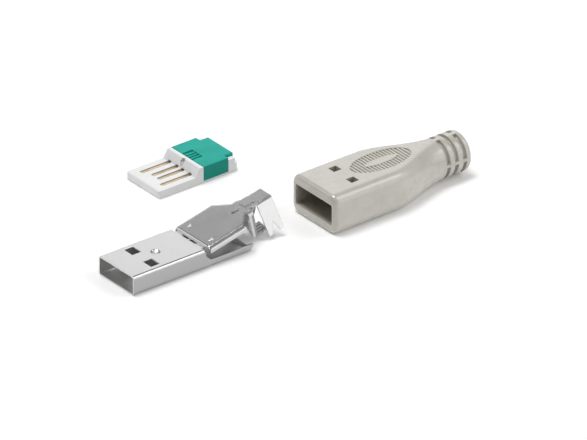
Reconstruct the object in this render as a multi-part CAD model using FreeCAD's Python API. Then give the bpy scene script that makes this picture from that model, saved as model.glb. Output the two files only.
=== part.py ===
import FreeCAD, Part
import math
import os

# A field-assembly plug in three loose groups that lie side by side on a table:
# a folded steel shell with its lifted rear cover, a contact insert with its
# wire holder, and a soft moulded hood. Lengths are in millimetres, +Z is up,
# and every plug axis points along +X, from the mating end to the cable end.

Vec = FreeCAD.Vector

# Steel sheet of the shell and its cover
sheet = 0.3
bend_radius = 0.65

# Plug shell
shell_width = 12.0
shell_height = 4.5
fold_x = 19.3
fold_gap = 0.06
wall_step_z = 2.95
tray_height = 1.75
tray_step_x = 20.4
tray_length = 30.6
lip_lean = 1.0
lip_height = 1.05
lip_dip_start = 5.5
lip_dip_slope = 1.4
seam_gap = 0.06
seam_end = 17.0
seam_lock_x = (2.4, 12.0)
seam_lock_root = 0.9
seam_lock_tip = 1.7
seam_lock_reach = 0.8

# Latch holes and dimple of the shell
latch_x = 6.78
latch_y = 3.2
latch_length = 2.3
latch_width = 2.75
dimple_x = 10.3
dimple_diameter = 2.1
dimple_depth = 0.4
lance_length = 1.1
lance_width = 0.8
lance_drop = 0.35

# Fold line
fold_slot_y = 1.3
fold_slot_length = 2.2
fold_slot_width = 0.35
fold_half_width = 4.5
coin_width = 0.55
coin_depth = 0.07

# Rear cover, measured along the cover from the fold
cover_open_deg = 12.5
cover_shoulder = 0.5
flange_start = 0.7
flange_end = 10.2
flange_depth = 1.45
flange_bend = 1.0
corner_start = 10.6
corner_end = 13.6
corner_half_width = 3.0
skirt_end = 14.8
skirt_depth = 6.7
cover_bend = 0.45
web_end = 16.4
web_half_width = 2.1
web_depth = 1.3
neck_half_width = 1.9
channel_start = 14.2
channel_end = 17.1
channel_half_width = 1.1
channel_height = 0.3
channel_slope = 0.25
step_s = 17.6
step_width = 0.35
step_rise = 0.1
saddle_start = 16.6
saddle_end = 20.6
saddle_half_width = 2.05
ear_bend = 0.5
ear_flare_deg = 18.5
ear_length = 7.3
far_ear_length = 2.4
fork_depth = 2.8
fork_width = 2.5
wing_end = 17.0
wing_top = 3.7
wing_heel = 0.9
wing_rib_count = 3
wing_rib_width = 0.3
wing_rib_rise = 0.15
barb_s = 2.55
barb_y = 3.7
barb_size = 1.3
barb_rise = 0.45
bead_s = 12.4
bead_length = 2.0
bead_width = 0.75
bead_rise = 0.22

# Insulator of the insert, measured from the front of its tongue
insert_width = 11.3
tongue_height = 1.84
slope_start = 9.8
slope_end = 10.95
insert_height = 3.75
front_end = 11.85
tongue_edge = 0.25
recess_x = 10.6
recess_diameter = 1.1
recess_depth = 0.9
core_half_width = 4.6
core_height = 1.9
skirt_ledge = 0.45
cheek_height = 3.2
cheek_thickness = 1.15
cheek_end = 20.2
tail_start = 18.5
tail_end = 21.3
tail_height = 1.9
lobe_radius = 0.95
insert_gap = 0.05

# Contacts
contact_names = ("contact_power", "contact_data_minus", "contact_data_plus", "contact_ground")
contact_pitch_inner = 1.0
contact_pitch_outer = 3.5
contact_width = 1.0
contact_thickness = 0.25
contact_sink = 0.12
contact_slot_gap = 0.03
outer_contact_start = 2.1
inner_contact_start = 3.2
blade_x_outer = 14.2
blade_x_inner = 16.6
blade_width = 1.3
blade_top = 3.2
blade_thickness = 0.25
blade_fork_width = 0.32
blade_fork_depth = 1.05

# Wire holder
holder_end = 18.4
holder_height = 3.85
holder_foot_z = 0.5
lid_end = 20.7
lid_half_width = 4.25
lid_thickness = 1.1
grip_length = 2.7
grip_width = 3.7
grip_depth = 0.35
grip_ridges = 3
grip_ridge_width = 0.45
wire_radius = 0.55
holder_chamfer = 0.15

# Hood
hood_length = 39.1
hood_width = 15.0
hood_height = 9.2
hood_corner = 2.2
hood_front_round = 1.0
taper_start = 17.0
neck_length = 7.1
taper_steps = 12
taper_straightness = 0.3
neck_radius = 4.6
neck_end_round = 0.9
neck_end_steps = 2
mouth_clearance = 0.15
mouth_corner = 0.4
cavity_depth = 17.5
inner_bore_radius = 3.5
cable_hole_length = 12.1
cable_radius = 2.4
window_x = 8.0
window_y = 3.0
window_size = 2.0
groove_past_taper = 0.7
groove_pitch = 2.2
groove_count = 3
groove_width = 1.0
groove_depth = 0.7
groove_side_web = 0.5
groove_top_web = 1.0
oval_x = 17.9
oval_length = 15.4
oval_width = 7.4
oval_depth = 0.45
oval_rib_count = 25
oval_rib_width = 0.3
oval_rib_rise = 0.33
island_length = 8.6
island_width = 2.2

# Places of the three groups on the table, before the whole is centred
insert_x = 29.5
insert_y = 29.4
hood_x = 48.7
hood_y = -4.54

# Cutters run this far past the faces they open
past = 1.0

# Values that follow from the sizes above
fold_z = shell_height - sheet / 2
plate_end = fold_x - sheet / 2 - fold_gap
centre_x = (hood_x + hood_length) / 2
centre_y = (insert_y + insert_width / 2 + hood_y - hood_width / 2) / 2
hood_axis_z = max(hood_height / 2, neck_radius)
taper_end = hood_length - neck_length
inner_bore_end = hood_length - cable_hole_length
groove_first = taper_end + groove_past_taper
contact_rows = (
    (-contact_pitch_outer, outer_contact_start, blade_x_outer),
    (-contact_pitch_inner, inner_contact_start, blade_x_inner),
    (contact_pitch_inner, inner_contact_start, blade_x_inner),
    (contact_pitch_outer, outer_contact_start, blade_x_outer),
)


def block(x_low, x_high, y_low, y_high, z_low, z_high):
    """A box between two corners."""
    corner = Vec(x_low, y_low, z_low)
    return Part.makeBox(x_high - x_low, y_high - y_low, z_high - z_low, corner)


def outline_face(points):
    """A flat face inside a closed row of points."""
    return Part.Face(Part.makePolygon(points + points[:1]))


def side_plate(outline, y_low, y_high):
    """An outline of (x, z) points swept across from y_low to y_high."""
    face = outline_face([Vec(x, y_low, z) for x, z in outline])
    return face.extrude(Vec(0, y_high - y_low, 0))


def flat_plate(outline, z_low, z_high):
    """An outline of (x, y) points swept up from z_low to z_high."""
    face = outline_face([Vec(x, y, z_low) for x, y in outline])
    return face.extrude(Vec(0, 0, z_high - z_low))


def both_sides(shape):
    """A shape and its mirror image across the middle plane of the plug."""
    return shape.fuse(shape.mirror(Vec(0, 0, 0), Vec(0, 1, 0)))


def rounded_section(x, width, height, corner, z_mid):
    """A rounded rectangle that stands across the X axis, as a closed wire."""
    edges = []
    ends = []
    for quarter in range(4):
        side_y = 1 if quarter in (0, 3) else -1
        side_z = 1 if quarter in (0, 1) else -1
        y_mid = side_y * (width / 2 - corner)
        z_corner = z_mid + side_z * (height / 2 - corner)
        angles = [math.radians(90 * quarter + step) for step in (0, 45, 90)]
        arc = [Vec(x, y_mid + corner * math.cos(a), z_corner + corner * math.sin(a)) for a in angles]
        if ends:
            edges.append(Part.LineSegment(ends[-1], arc[0]).toShape())
        edges.append(Part.Arc(*arc).toShape())
        ends.extend((arc[0], arc[2]))
    edges.append(Part.LineSegment(ends[-1], ends[0]).toShape())
    return Part.Wire(edges)


def round_section(x, radius, z_mid):
    """A circle across the X axis in eight arcs, one for each edge of a rounded rectangle."""
    flat_deg = 8
    marks = []
    for quarter in range(4):
        marks.append(90 * quarter + flat_deg / 2)
        marks.append(90 * quarter + 90 - flat_deg / 2)
    edges = []
    for first, last in zip(marks, marks[1:] + [marks[0] + 360]):
        angles = [math.radians(a) for a in (first, (first + last) / 2, last)]
        arc = [Vec(x, radius * math.cos(a), z_mid + radius * math.sin(a)) for a in angles]
        edges.append(Part.Arc(*arc).toShape())
    return Part.Wire(edges)


def bar_of(wire, length):
    """A closed wire across the X axis, swept to the rear."""
    return Part.Face(wire).extrude(Vec(length, 0, 0))


def rod(x_low, x_high, radius, y_mid, z_mid):
    """A round bar along X."""
    return Part.makeCylinder(radius, x_high - x_low, Vec(x_low, y_mid, z_mid), Vec(1, 0, 0))


def slot_bar(x_low, x_high, width, y_mid, z_low, z_high):
    """A bar along X with round ends, for slots and strips with such ends."""
    radius = width / 2
    body = block(x_low + radius, x_high - radius, y_mid - radius, y_mid + radius, z_low, z_high)
    for x_end in (x_low + radius, x_high - radius):
        body = body.fuse(Part.makeCylinder(radius, z_high - z_low, Vec(x_end, y_mid, z_low)))
    return body.removeSplitter()


def folded_strip(start, heading_deg, runs, turns, radius):
    """The cross-section of a bent sheet: straight runs with round bends between them.

    start is the (y, z) point on the sheet's middle, heading_deg the way it sets out,
    and each turn is counted anticlockwise in degrees."""
    left = []
    right = []
    here = Vec(0, start[0], start[1])
    heading = math.radians(heading_deg)

    def offset(point, angle, distance):
        return point + Vec(0, -math.sin(angle) * distance, math.cos(angle) * distance)

    for index, run in enumerate(runs):
        there = here + Vec(0, math.cos(heading) * run, math.sin(heading) * run)
        for side, edges in ((sheet / 2, left), (-sheet / 2, right)):
            line = Part.LineSegment(offset(here, heading, side), offset(there, heading, side))
            edges.append(line.toShape())
        here = there
        if index < len(turns):
            turn = math.radians(turns[index])
            sign = 1 if turn > 0 else -1
            centre = offset(here, heading, sign * radius)
            for side, edges in ((sheet / 2, left), (-sheet / 2, right)):
                reach = radius - sign * side
                steps = [heading + turn * part for part in (0, 0.5, 1)]
                arc = [offset(centre, step, -sign * reach) for step in steps]
                edges.append(Part.Arc(*arc).toShape())
            heading = heading + turn
            here = offset(centre, heading, -sign * radius)
    caps = []
    for end in (0, -1):
        cap = Part.LineSegment(left[end].Vertexes[end].Point, right[end].Vertexes[end].Point)
        caps.append(cap.toShape())
    wire = Part.Wire(Part.__sortEdges__(left + right + caps))
    return Part.Face(wire)


def shell_side_outline():
    """The shell seen from its side: tube in front, open tray with a leaning end behind."""
    return [
        (0, 0),
        (tray_length, 0),
        (tray_length + lip_lean, tray_height),
        (tray_step_x, tray_height),
        (plate_end, wall_step_z),
        (plate_end, shell_height),
        (0, shell_height),
    ]


def make_dimple(x_mid, top_z):
    """Spherical dish pressed down into the top sheet: its metal and the hollow above it."""
    half = dimple_diameter / 2
    ball = (half ** 2 + dimple_depth ** 2) / (2 * dimple_depth)
    centre = Vec(x_mid, 0, top_z - dimple_depth + ball)
    hollow = Part.makeSphere(ball, centre)
    metal = Part.makeSphere(ball + sheet, centre)
    below = block(x_mid - ball, x_mid + ball, -ball, ball, top_z - sheet - ball, top_z - sheet / 2)
    return metal.common(below), hollow


def thin_wall(first, last):
    """The gap between two cut edges of the sheet, from one (x, y) point to the next."""
    run = Vec(last[0] - first[0], last[1] - first[1], 0)
    length = run.Length
    wall = block(-seam_gap / 2, length + seam_gap / 2, -seam_gap / 2, seam_gap / 2, -past, 2 * sheet)
    wall.rotate(Vec(0, 0, 0), Vec(0, 0, 1), math.degrees(math.atan2(run.y, run.x)))
    wall.translate(Vec(first[0], first[1], 0))
    return wall


def make_seam():
    """Butt seam along the middle of the floor, held by dovetail locks."""
    points = [(-past, 0)]
    for lock_x in seam_lock_x:
        points.append((lock_x - seam_lock_root / 2, 0))
        points.append((lock_x - seam_lock_tip / 2, -seam_lock_reach))
        points.append((lock_x + seam_lock_tip / 2, -seam_lock_reach))
        points.append((lock_x + seam_lock_root / 2, 0))
    points.append((seam_end, 0))
    walls = [thin_wall(first, last) for first, last in zip(points, points[1:])]
    return walls[0].fuse(walls[1:])


def make_shell():
    """Folded tube with latch holes, a dimple, two floor lances and the open tray."""
    length = tray_length + lip_lean
    middle = shell_height / 2
    outside = bar_of(rounded_section(0, shell_width, shell_height, bend_radius, middle), length)
    inner_corner = bend_radius - sheet
    inner_width = shell_width - 2 * sheet
    inner_height = shell_height - 2 * sheet
    inside = bar_of(rounded_section(0, inner_width, inner_height, inner_corner, middle), length)
    tube = outside.cut(inside)
    half = shell_width / 2
    shell = tube.common(side_plate(shell_side_outline(), -half, half))

    lean_run = sheet * math.hypot(lip_lean, tray_height) / tray_height
    lip = side_plate([
        (tray_length, 0),
        (tray_length + lip_lean, tray_height),
        (tray_length + lip_lean - lean_run, tray_height),
        (tray_length - lean_run, 0),
    ], -half, half)
    dip_floor = lip_dip_start - (tray_height - lip_height) * lip_dip_slope
    dip_top = lip_dip_start + past * lip_dip_slope
    dip = outline_face([
        Vec(tray_length - past, -dip_floor, lip_height),
        Vec(tray_length - past, dip_floor, lip_height),
        Vec(tray_length - past, dip_top, tray_height + past),
        Vec(tray_length - past, -dip_top, tray_height + past),
    ]).extrude(Vec(lip_lean + 2 * past, 0, 0))
    shell = shell.fuse(lip.common(outside).cut(dip)).cut(make_seam())

    hole = block(latch_x - latch_length / 2, latch_x + latch_length / 2,
                 latch_y - latch_width / 2, latch_y + latch_width / 2, -past, shell_height + past)
    shell = shell.cut(both_sides(hole))

    metal, hollow = make_dimple(dimple_x, shell_height)
    shell = shell.fuse(metal).cut(hollow)

    slot = block(plate_end - fold_slot_width / 2, plate_end + past,
                 fold_slot_y - fold_slot_length / 2, fold_slot_y + fold_slot_length / 2,
                 shell_height - sheet - fold_gap, shell_height + past)
    shell = shell.cut(both_sides(slot))
    corner_notch = block(plate_end - fold_slot_width, plate_end + past, fold_half_width, half + past,
                         shell_height - bend_radius, shell_height + past)
    shell = shell.cut(both_sides(corner_notch))
    coin = block(plate_end - coin_width, plate_end + past, -fold_half_width, fold_half_width,
                 shell_height - coin_depth, shell_height + past)
    shell = shell.cut(coin)

    lance_front = latch_x + latch_length / 2
    lance = side_plate([
        (lance_front, sheet / 2),
        (lance_front + lance_length, sheet / 2),
        (lance_front + lance_length, sheet),
        (lance_front, sheet + lance_drop),
    ], latch_y - lance_width / 2, latch_y + lance_width / 2)
    shell = shell.fuse(both_sides(lance))
    return shell.removeSplitter()


def cover_pan_outline(inset):
    """The cover's outline behind the fold, drawn in by inset, open to front and rear."""
    half = shell_width / 2
    rear_turn = math.atan2(corner_half_width - web_half_width, web_end - skirt_end)
    front_turn = math.atan2(half - corner_half_width, corner_end - corner_start)
    front_slide = inset * math.tan(front_turn / 2)
    rear_slide = inset * math.tan(rear_turn / 2)
    overrun = past if inset > 0 else 0
    side = [
        (flange_start - overrun, half - inset),
        (corner_start - front_slide, half - inset),
        (corner_end - front_slide, corner_half_width - inset),
        (skirt_end - rear_slide, corner_half_width - inset),
        (web_end + overrun, web_half_width - inset / math.cos(rear_turn) - overrun * math.tan(rear_turn)),
    ]
    return [(x, -y) for x, y in side] + [(x, y) for x, y in reversed(side)]


def rounded_pan(inset, top_z, bottom_z, rounding):
    """The outline swept down from the cover's top, with its long top edges rounded."""
    solid = flat_plate(cover_pan_outline(inset), bottom_z, top_z)
    edges = []
    for edge in solid.Edges:
        first, last = (vertex.Point for vertex in edge.Vertexes)
        on_top = abs(first.z - top_z) < 1e-6 and abs(last.z - top_z) < 1e-6
        runs_back = abs(first.x - last.x) > 1e-6
        if on_top and runs_back:
            edges.append(edge)
    return solid.makeFillet(rounding, edges)


def make_cover_pan():
    """Cover plate with its two side flanges and the skirts round its rear corners."""
    top = sheet / 2
    outer = rounded_pan(0, top, top - skirt_depth, flange_bend)
    inner = rounded_pan(sheet, top - sheet, top - skirt_depth - past, flange_bend - sheet)
    pan = outer.cut(inner)
    half = shell_width / 2
    below = top - skirt_depth - past
    under_flange = side_plate([
        (0, top - flange_depth),
        (flange_end, top - flange_depth),
        (flange_end, top - cover_bend),
        (corner_start, top - cover_bend),
        (corner_end, top - skirt_depth),
        (corner_end, below),
        (0, below),
    ], -half - past, half + past)
    under_web = side_plate([
        (skirt_end, below),
        (skirt_end, top - web_depth),
        (web_end, top - cover_bend),
        (web_end + past, top - cover_bend),
        (web_end + past, below),
    ], -half - past, half + past)
    return pan.cut(under_flange).cut(under_web)


def make_fold_nose():
    """Front edge of the cover: rounded on the fold axis, with slots and end notches."""
    top = sheet / 2
    nose = Part.makeCylinder(sheet / 2, 2 * fold_half_width, Vec(0, -fold_half_width, 0), Vec(0, 1, 0))
    strip = block(0, flange_start + past, -fold_half_width, fold_half_width, -top, top)
    half = shell_width / 2
    shoulder = block(cover_shoulder, flange_start + past, flange_bend - half, half - flange_bend,
                     -top, top)
    coin = block(-past, coin_width, -half, half, top - coin_depth, top + past)
    slot = block(-past, fold_slot_width / 2, fold_slot_y - fold_slot_length / 2,
                 fold_slot_y + fold_slot_length / 2, -past, past)
    return nose.fuse(strip).fuse(shoulder).cut(coin).cut(both_sides(slot))


def make_saddle():
    """Cable saddle behind the neck: one strip bent down into a long near and a short far ear."""
    flat_run = 2 * saddle_half_width - 2 * ear_bend
    turn = 90 - ear_flare_deg
    start_y = saddle_half_width - ear_bend
    ear = folded_strip((start_y, 0), 180, (flat_run, ear_length), (turn,), ear_bend)
    far = folded_strip((-start_y, 0), 0, (flat_run, far_ear_length), (-turn,), ear_bend)
    length = saddle_end - saddle_start
    strip = ear.extrude(Vec(length, 0, 0)).fuse(far.extrude(Vec(length, 0, 0)))
    strip.translate(Vec(saddle_start, 0, 0))
    return strip


def make_ear_fork():
    """The V that is cut into the tip of the near ear, as a wedge across the sheet."""
    middle = (saddle_start + saddle_end) / 2
    tip = ear_length + past
    widen = fork_width * tip / ear_length
    wedge = outline_face([
        Vec(middle, 0, -(ear_length - fork_depth)),
        Vec(middle - widen / 2, 0, -tip),
        Vec(middle + widen / 2, 0, -tip),
    ]).extrude(Vec(0, 2 * past, 0))
    wedge.translate(Vec(0, -past, 0))
    wedge.rotate(Vec(0, 0, 0), Vec(1, 0, 0), -ear_flare_deg)
    bend_y = -saddle_half_width + ear_bend - ear_bend * math.cos(math.radians(ear_flare_deg))
    bend_z = -ear_bend + ear_bend * math.sin(math.radians(ear_flare_deg))
    wedge.translate(Vec(0, bend_y, bend_z))
    return wedge


def make_neck():
    """Narrow neck up to the saddle, with a raised stiffening channel and a cross step."""
    top = sheet / 2
    neck = block(skirt_end, saddle_start + cover_bend, -neck_half_width, neck_half_width, -top, top)
    ridge = flat_plate([
        (channel_start, -channel_half_width),
        (channel_end, -channel_half_width),
        (channel_end, channel_half_width),
        (channel_start, channel_half_width),
    ], 0, top + channel_height)
    top_edges = [edge for edge in ridge.Edges if edge.BoundBox.ZMin > top]
    ridge = ridge.makeChamfer(channel_slope, top_edges)
    step = block(step_s - step_width / 2, step_s + step_width / 2, -channel_half_width, channel_half_width,
                 0, top + step_rise)
    return neck.fuse(ridge).fuse(step)


def make_wing():
    """Small ribbed wing that runs back from a rear skirt, beside the cable."""
    top = sheet / 2
    low = top - skirt_depth
    high = top - wing_top
    run = wing_end - skirt_end
    outline = [
        (skirt_end - sheet, high),
        (skirt_end + run / 2, high),
        (wing_end, low + wing_heel),
        (wing_end, low),
        (skirt_end - sheet, low),
    ]
    wing = side_plate(outline, corner_half_width - sheet, corner_half_width)
    pitch = (skirt_depth - wing_top) / (wing_rib_count + 1)
    for index in range(wing_rib_count):
        z_mid = low + pitch * (index + 1)
        rib = block(skirt_end, skirt_end + run / 2,
                    corner_half_width - sheet, corner_half_width + wing_rib_rise,
                    z_mid - wing_rib_width / 2, z_mid + wing_rib_width / 2)
        wing = wing.fuse(rib)
    return wing


def make_barb(y_mid):
    """Three-cornered catch pushed up out of the cover plate."""
    top = sheet / 2
    half = barb_size / 2
    base = [
        Vec(barb_s - half, y_mid, 0),
        Vec(barb_s + half, y_mid - half, 0),
        Vec(barb_s + half, y_mid + half, 0),
    ]
    peak = Vec(barb_s + half, y_mid, top + barb_rise)
    faces = [outline_face(base)]
    for first, last in zip(base, base[1:] + base[:1]):
        faces.append(outline_face([first, last, peak]))
    return Part.Solid(Part.Shell(faces))


def make_cover():
    """Rear cover, built flat behind its fold axis, then lifted and set on the shell."""
    cover = make_fold_nose().fuse(make_cover_pan())
    cover = cover.fuse(make_neck()).fuse(make_saddle()).cut(make_ear_fork())
    cover = cover.fuse(both_sides(make_wing()))
    for y_mid in (-barb_y, barb_y):
        cover = cover.fuse(make_barb(y_mid))
    bead = slot_bar(bead_s - bead_length / 2, bead_s + bead_length / 2, bead_width, 0, 0,
                    sheet / 2 + bead_rise)
    cover = cover.fuse(bead).removeSplitter()
    cover.translate(Vec(fold_x, 0, fold_z))
    cover.rotate(Vec(fold_x, 0, fold_z), Vec(0, 1, 0), -cover_open_deg)
    return cover


def contact_slot(y_mid, x_start):
    """Room for one contact: an open slot in the tongue, then a tunnel to the blades."""
    low = tongue_height - contact_sink - contact_thickness - contact_slot_gap
    width = contact_width + 2 * contact_slot_gap
    slot = slot_bar(x_start - contact_slot_gap, slope_start + width / 2, width, y_mid, low,
                    tongue_height + past / 4)
    tunnel = block(slope_start, front_end + past / 4, y_mid - width / 2, y_mid + width / 2, low,
                   tongue_height - contact_sink + contact_slot_gap)
    return slot.fuse(tunnel)


def make_insulator():
    """Tongue, sloped front wall, core with wire grooves, cheeks and lobed tail of the insert."""
    half = insert_width / 2
    front = side_plate([
        (0, 0),
        (front_end, 0),
        (front_end, insert_height),
        (slope_end, insert_height),
        (slope_start, tongue_height),
        (0, tongue_height),
    ], -half, half)
    mouth_edges = [edge for edge in front.Edges if edge.BoundBox.XMax < 1e-6]
    front = front.makeChamfer(tongue_edge, mouth_edges)
    ledge = block(front_end, tail_start, -half, half, 0, skirt_ledge)
    core = block(front_end, tail_start, -core_half_width, core_half_width, 0, core_height)
    tail_lobe_x = tail_end - lobe_radius
    tail = block(tail_start, tail_lobe_x, -half, half, 0, tail_height)
    cheek = block(tail_start, cheek_end, half - cheek_thickness, half, 0, cheek_height)
    body = front.fuse(ledge).fuse(core).fuse(tail).fuse(both_sides(cheek))
    lobe_span = half - lobe_radius
    for index in range(-2, 3):
        centre = Vec(tail_lobe_x, lobe_span * index / 2, 0)
        body = body.fuse(Part.makeCylinder(lobe_radius, tail_height, centre))
    for y_mid, x_start, blade_x in contact_rows:
        body = body.cut(contact_slot(y_mid, x_start))
        groove_z = core_height + wire_radius / 2
        body = body.cut(rod(front_end + past / 4, tail_end + past, wire_radius, y_mid, groove_z))
        width = blade_width + 2 * contact_slot_gap
        low = tongue_height - contact_sink - contact_thickness - contact_slot_gap
        pit = block(front_end, blade_x + blade_thickness + contact_slot_gap,
                    y_mid - width / 2, y_mid + width / 2, low, core_height + past)
        body = body.cut(pit.common(core.fuse(ledge)))
    recess_floor = Vec(recess_x, 0, insert_height - recess_depth)
    recess = Part.makeCylinder(recess_diameter / 2, recess_depth + past, recess_floor)
    return body.cut(recess).removeSplitter()


def fork_mouth(x_low, x_high, y_mid):
    """The slanted mouth of a blade's fork, which guides the wire in."""
    reach = blade_width / 3
    face = outline_face([
        Vec(x_low, y_mid - reach, blade_top),
        Vec(x_low, y_mid + reach, blade_top),
        Vec(x_low, y_mid, blade_top - reach),
    ])
    return face.extrude(Vec(x_high - x_low, 0, 0))


def make_contact(y_mid, x_start, blade_x):
    """One contact: a flat strip with a round nose, turned up into a forked blade."""
    high = tongue_height - contact_sink
    low = high - contact_thickness
    strip_end = blade_x + blade_thickness
    strip = slot_bar(x_start, slope_start, contact_width, y_mid, low, high)
    shank = block(slope_start - contact_width, strip_end, y_mid - contact_width / 2,
                  y_mid + contact_width / 2, low, high)
    blade = block(blade_x, strip_end, y_mid - blade_width / 2, y_mid + blade_width / 2, low, blade_top)
    fork = block(blade_x - past, strip_end + past, y_mid - blade_fork_width / 2,
                 y_mid + blade_fork_width / 2, blade_top - blade_fork_depth, blade_top + past)
    lead = fork_mouth(blade_x - past, strip_end + past, y_mid)
    return strip.fuse(shank).fuse(blade).cut(fork).cut(lead).removeSplitter()


def make_wire_holder():
    """Cap over the core: side legs, wire channels, blade slots, rear lid and ridged thumb grip."""
    half = insert_width / 2
    x_front = front_end + insert_gap
    cap = block(x_front, holder_end, -half, half, holder_foot_z, holder_height)
    lid = block(holder_end, lid_end, -lid_half_width, lid_half_width,
                holder_height - lid_thickness, holder_height)
    holder = cap.fuse(lid).removeSplitter()
    top_edges = []
    for edge in holder.Edges:
        box = edge.BoundBox
        if box.ZMin > holder_height - 1e-6 and box.XMax - box.XMin + box.YMax - box.YMin > 2 * past:
            top_edges.append(edge)
    holder = holder.makeChamfer(holder_chamfer, top_edges)
    room_half = core_half_width + insert_gap
    room = block(x_front - past, holder_end + past / 4, -room_half, room_half,
                 holder_foot_z - past, core_height + insert_gap)
    holder = holder.cut(room)
    for y_mid, _, blade_x in contact_rows:
        channel_z = core_height + wire_radius
        channel = rod(blade_x - 2 * wire_radius, lid_end + past, wire_radius, y_mid, channel_z)
        arch = block(blade_x - 2 * wire_radius, lid_end + past, y_mid - wire_radius, y_mid + wire_radius,
                     core_height - past / 4, channel_z)
        pocket = block(blade_x - 2 * insert_gap, blade_x + blade_thickness + 2 * insert_gap,
                       y_mid - blade_width / 2 - 2 * insert_gap, y_mid + blade_width / 2 + 2 * insert_gap,
                       core_height - past / 4, blade_top + 2 * insert_gap)
        holder = holder.cut(channel.fuse(arch)).cut(pocket)
    grip = block(x_front - past, x_front + grip_length, -grip_width / 2, grip_width / 2,
                 holder_height - grip_depth, holder_height + past)
    pitch = grip_width / (grip_ridges + 1)
    for index in range(grip_ridges):
        y_mid = -grip_width / 2 + pitch * (index + 1)
        ridge = block(x_front - 2 * past, x_front + grip_length + past, y_mid - grip_ridge_width / 2,
                      y_mid + grip_ridge_width / 2, 0, holder_height - grip_depth / 4)
        grip = grip.cut(ridge)
    return holder.cut(grip).removeSplitter()


def ease(t):
    """Soft S-curve from 0 to 1, partly straight, for the taper."""
    smooth = t * t * (3 - 2 * t)
    return taper_straightness * t + (1 - taper_straightness) * smooth


def make_neck_bar():
    """Round neck whose rear edge is rounded off in a few narrow cones."""
    profile = [Vec(taper_end, 0, 0), Vec(taper_end, neck_radius, 0)]
    for step in range(neck_end_steps + 1):
        angle = math.radians(90 * step / neck_end_steps)
        x = hood_length - neck_end_round * (1 - math.sin(angle))
        profile.append(Vec(x, neck_radius - neck_end_round * (1 - math.cos(angle)), 0))
    profile.append(Vec(hood_length, 0, 0))
    neck = outline_face(profile).revolve(Vec(0, 0, 0), Vec(1, 0, 0), 360)
    neck.translate(Vec(0, 0, hood_axis_z))
    return neck


def make_hood_body():
    """Outer form of the hood: rounded box, S-curved taper and round neck."""
    box = bar_of(rounded_section(0, hood_width, hood_height, hood_corner, hood_axis_z), taper_start)
    front_edges = [edge for edge in box.Edges if edge.BoundBox.XMax < 1e-6]
    box = box.makeFillet(hood_front_round, front_edges)
    sections = []
    for index in range(taper_steps):
        t = index / taper_steps
        blend = ease(t)
        width = hood_width + (2 * neck_radius - hood_width) * blend
        height = hood_height + (2 * neck_radius - hood_height) * blend
        corner = hood_corner + (neck_radius - hood_corner) * blend
        x = taper_start + (taper_end - taper_start) * t
        sections.append(rounded_section(x, width, height, corner, hood_axis_z))
    sections.append(round_section(taper_end, neck_radius, hood_axis_z))
    taper = Part.makeLoft(sections, True, True)
    return box.fuse(taper).fuse(make_neck_bar())


def make_hood_cavity():
    """Inside of the hood: flat pocket for the shell, round chamber and cable hole."""
    width = shell_width + 2 * mouth_clearance
    height = shell_height + 2 * mouth_clearance
    section = rounded_section(-past, width, height, mouth_corner, hood_axis_z)
    pocket = bar_of(section, cavity_depth + past)
    chamber = rod(cavity_depth - past, inner_bore_end, inner_bore_radius, 0, hood_axis_z)
    cable = rod(inner_bore_end - past, hood_length + past, cable_radius, 0, hood_axis_z)
    return pocket.fuse(chamber).fuse(cable)


def make_neck_groove(x_mid, has_top_web):
    """One flex groove round the neck, broken by webs at the sides and perhaps above and below."""
    low = x_mid - groove_width / 2
    high = x_mid + groove_width / 2
    ring = rod(low, high, neck_radius + past, 0, hood_axis_z)
    ring = ring.cut(rod(low, high, neck_radius - groove_depth, 0, hood_axis_z))
    reach = neck_radius + 2 * past
    half = groove_side_web / 2
    ring = ring.cut(block(low - past, high + past, -reach, reach, hood_axis_z - half, hood_axis_z + half))
    if has_top_web:
        half = groove_top_web / 2
        ring = ring.cut(block(low - past, high + past, -half, half,
                              hood_axis_z - reach, hood_axis_z + reach))
    return ring


def oval(length, width, z_low, z_high):
    """Upright oval bar centred on the hood's grip."""
    ellipse = Part.Ellipse(Vec(oval_x, 0, z_low), length / 2, width / 2)
    return Part.Face(Part.Wire(ellipse.toShape())).extrude(Vec(0, 0, z_high - z_low))


def make_hood():
    """Soft hood with windows, flex grooves and a ribbed oval grip round a plain island."""
    hood = make_hood_body().cut(make_hood_cavity())
    top = hood_axis_z + hood_height / 2
    window = block(window_x - window_size / 2, window_x + window_size / 2,
                   window_y - window_size / 2, window_y + window_size / 2, hood_axis_z, top + past)
    hood = hood.cut(both_sides(window))
    for index in range(groove_count):
        hood = hood.cut(make_neck_groove(groove_first + groove_pitch * index, index % 2 == 0))
    floor = top - oval_depth
    dish = oval(oval_length, oval_width, floor, top + past)
    dish = dish.cut(oval(island_length, island_width, floor - past, top + 2 * past))
    pitch = oval_length / (oval_rib_count + 1)
    ribs = []
    for index in range(oval_rib_count):
        x_mid = oval_x - oval_length / 2 + pitch * (index + 1)
        ribs.append(block(x_mid - oval_rib_width / 2, x_mid + oval_rib_width / 2, -oval_width, oval_width,
                          floor - past, floor + oval_rib_rise))
    return hood.cut(dish.cut(Part.makeCompound(ribs)))


def place(shape, x, y):
    """Lays a group at its place on the table, with the whole centred on the origin."""
    shape.translate(Vec(x - centre_x, y - centre_y, 0))
    return shape


def build():
    """Every piece by name, at its place."""
    pieces = {
        "plug_shell": place(make_shell(), 0, 0),
        "rear_cover": place(make_cover(), 0, 0),
        "insulator": place(make_insulator(), insert_x, insert_y),
        "wire_holder": place(make_wire_holder(), insert_x, insert_y),
        "hood": place(make_hood(), hood_x, hood_y),
    }
    for name, row in zip(contact_names, contact_rows):
        pieces[name] = place(make_contact(*row), insert_x, insert_y)
    return pieces


os.makedirs("parts", exist_ok=True)
for name, shape in build().items():
    shape.exportStep("parts/" + name + ".step")
    print(name, "valid", shape.isValid(), "solids", len(shape.Solids), "volume", round(shape.Volume, 2))
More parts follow.
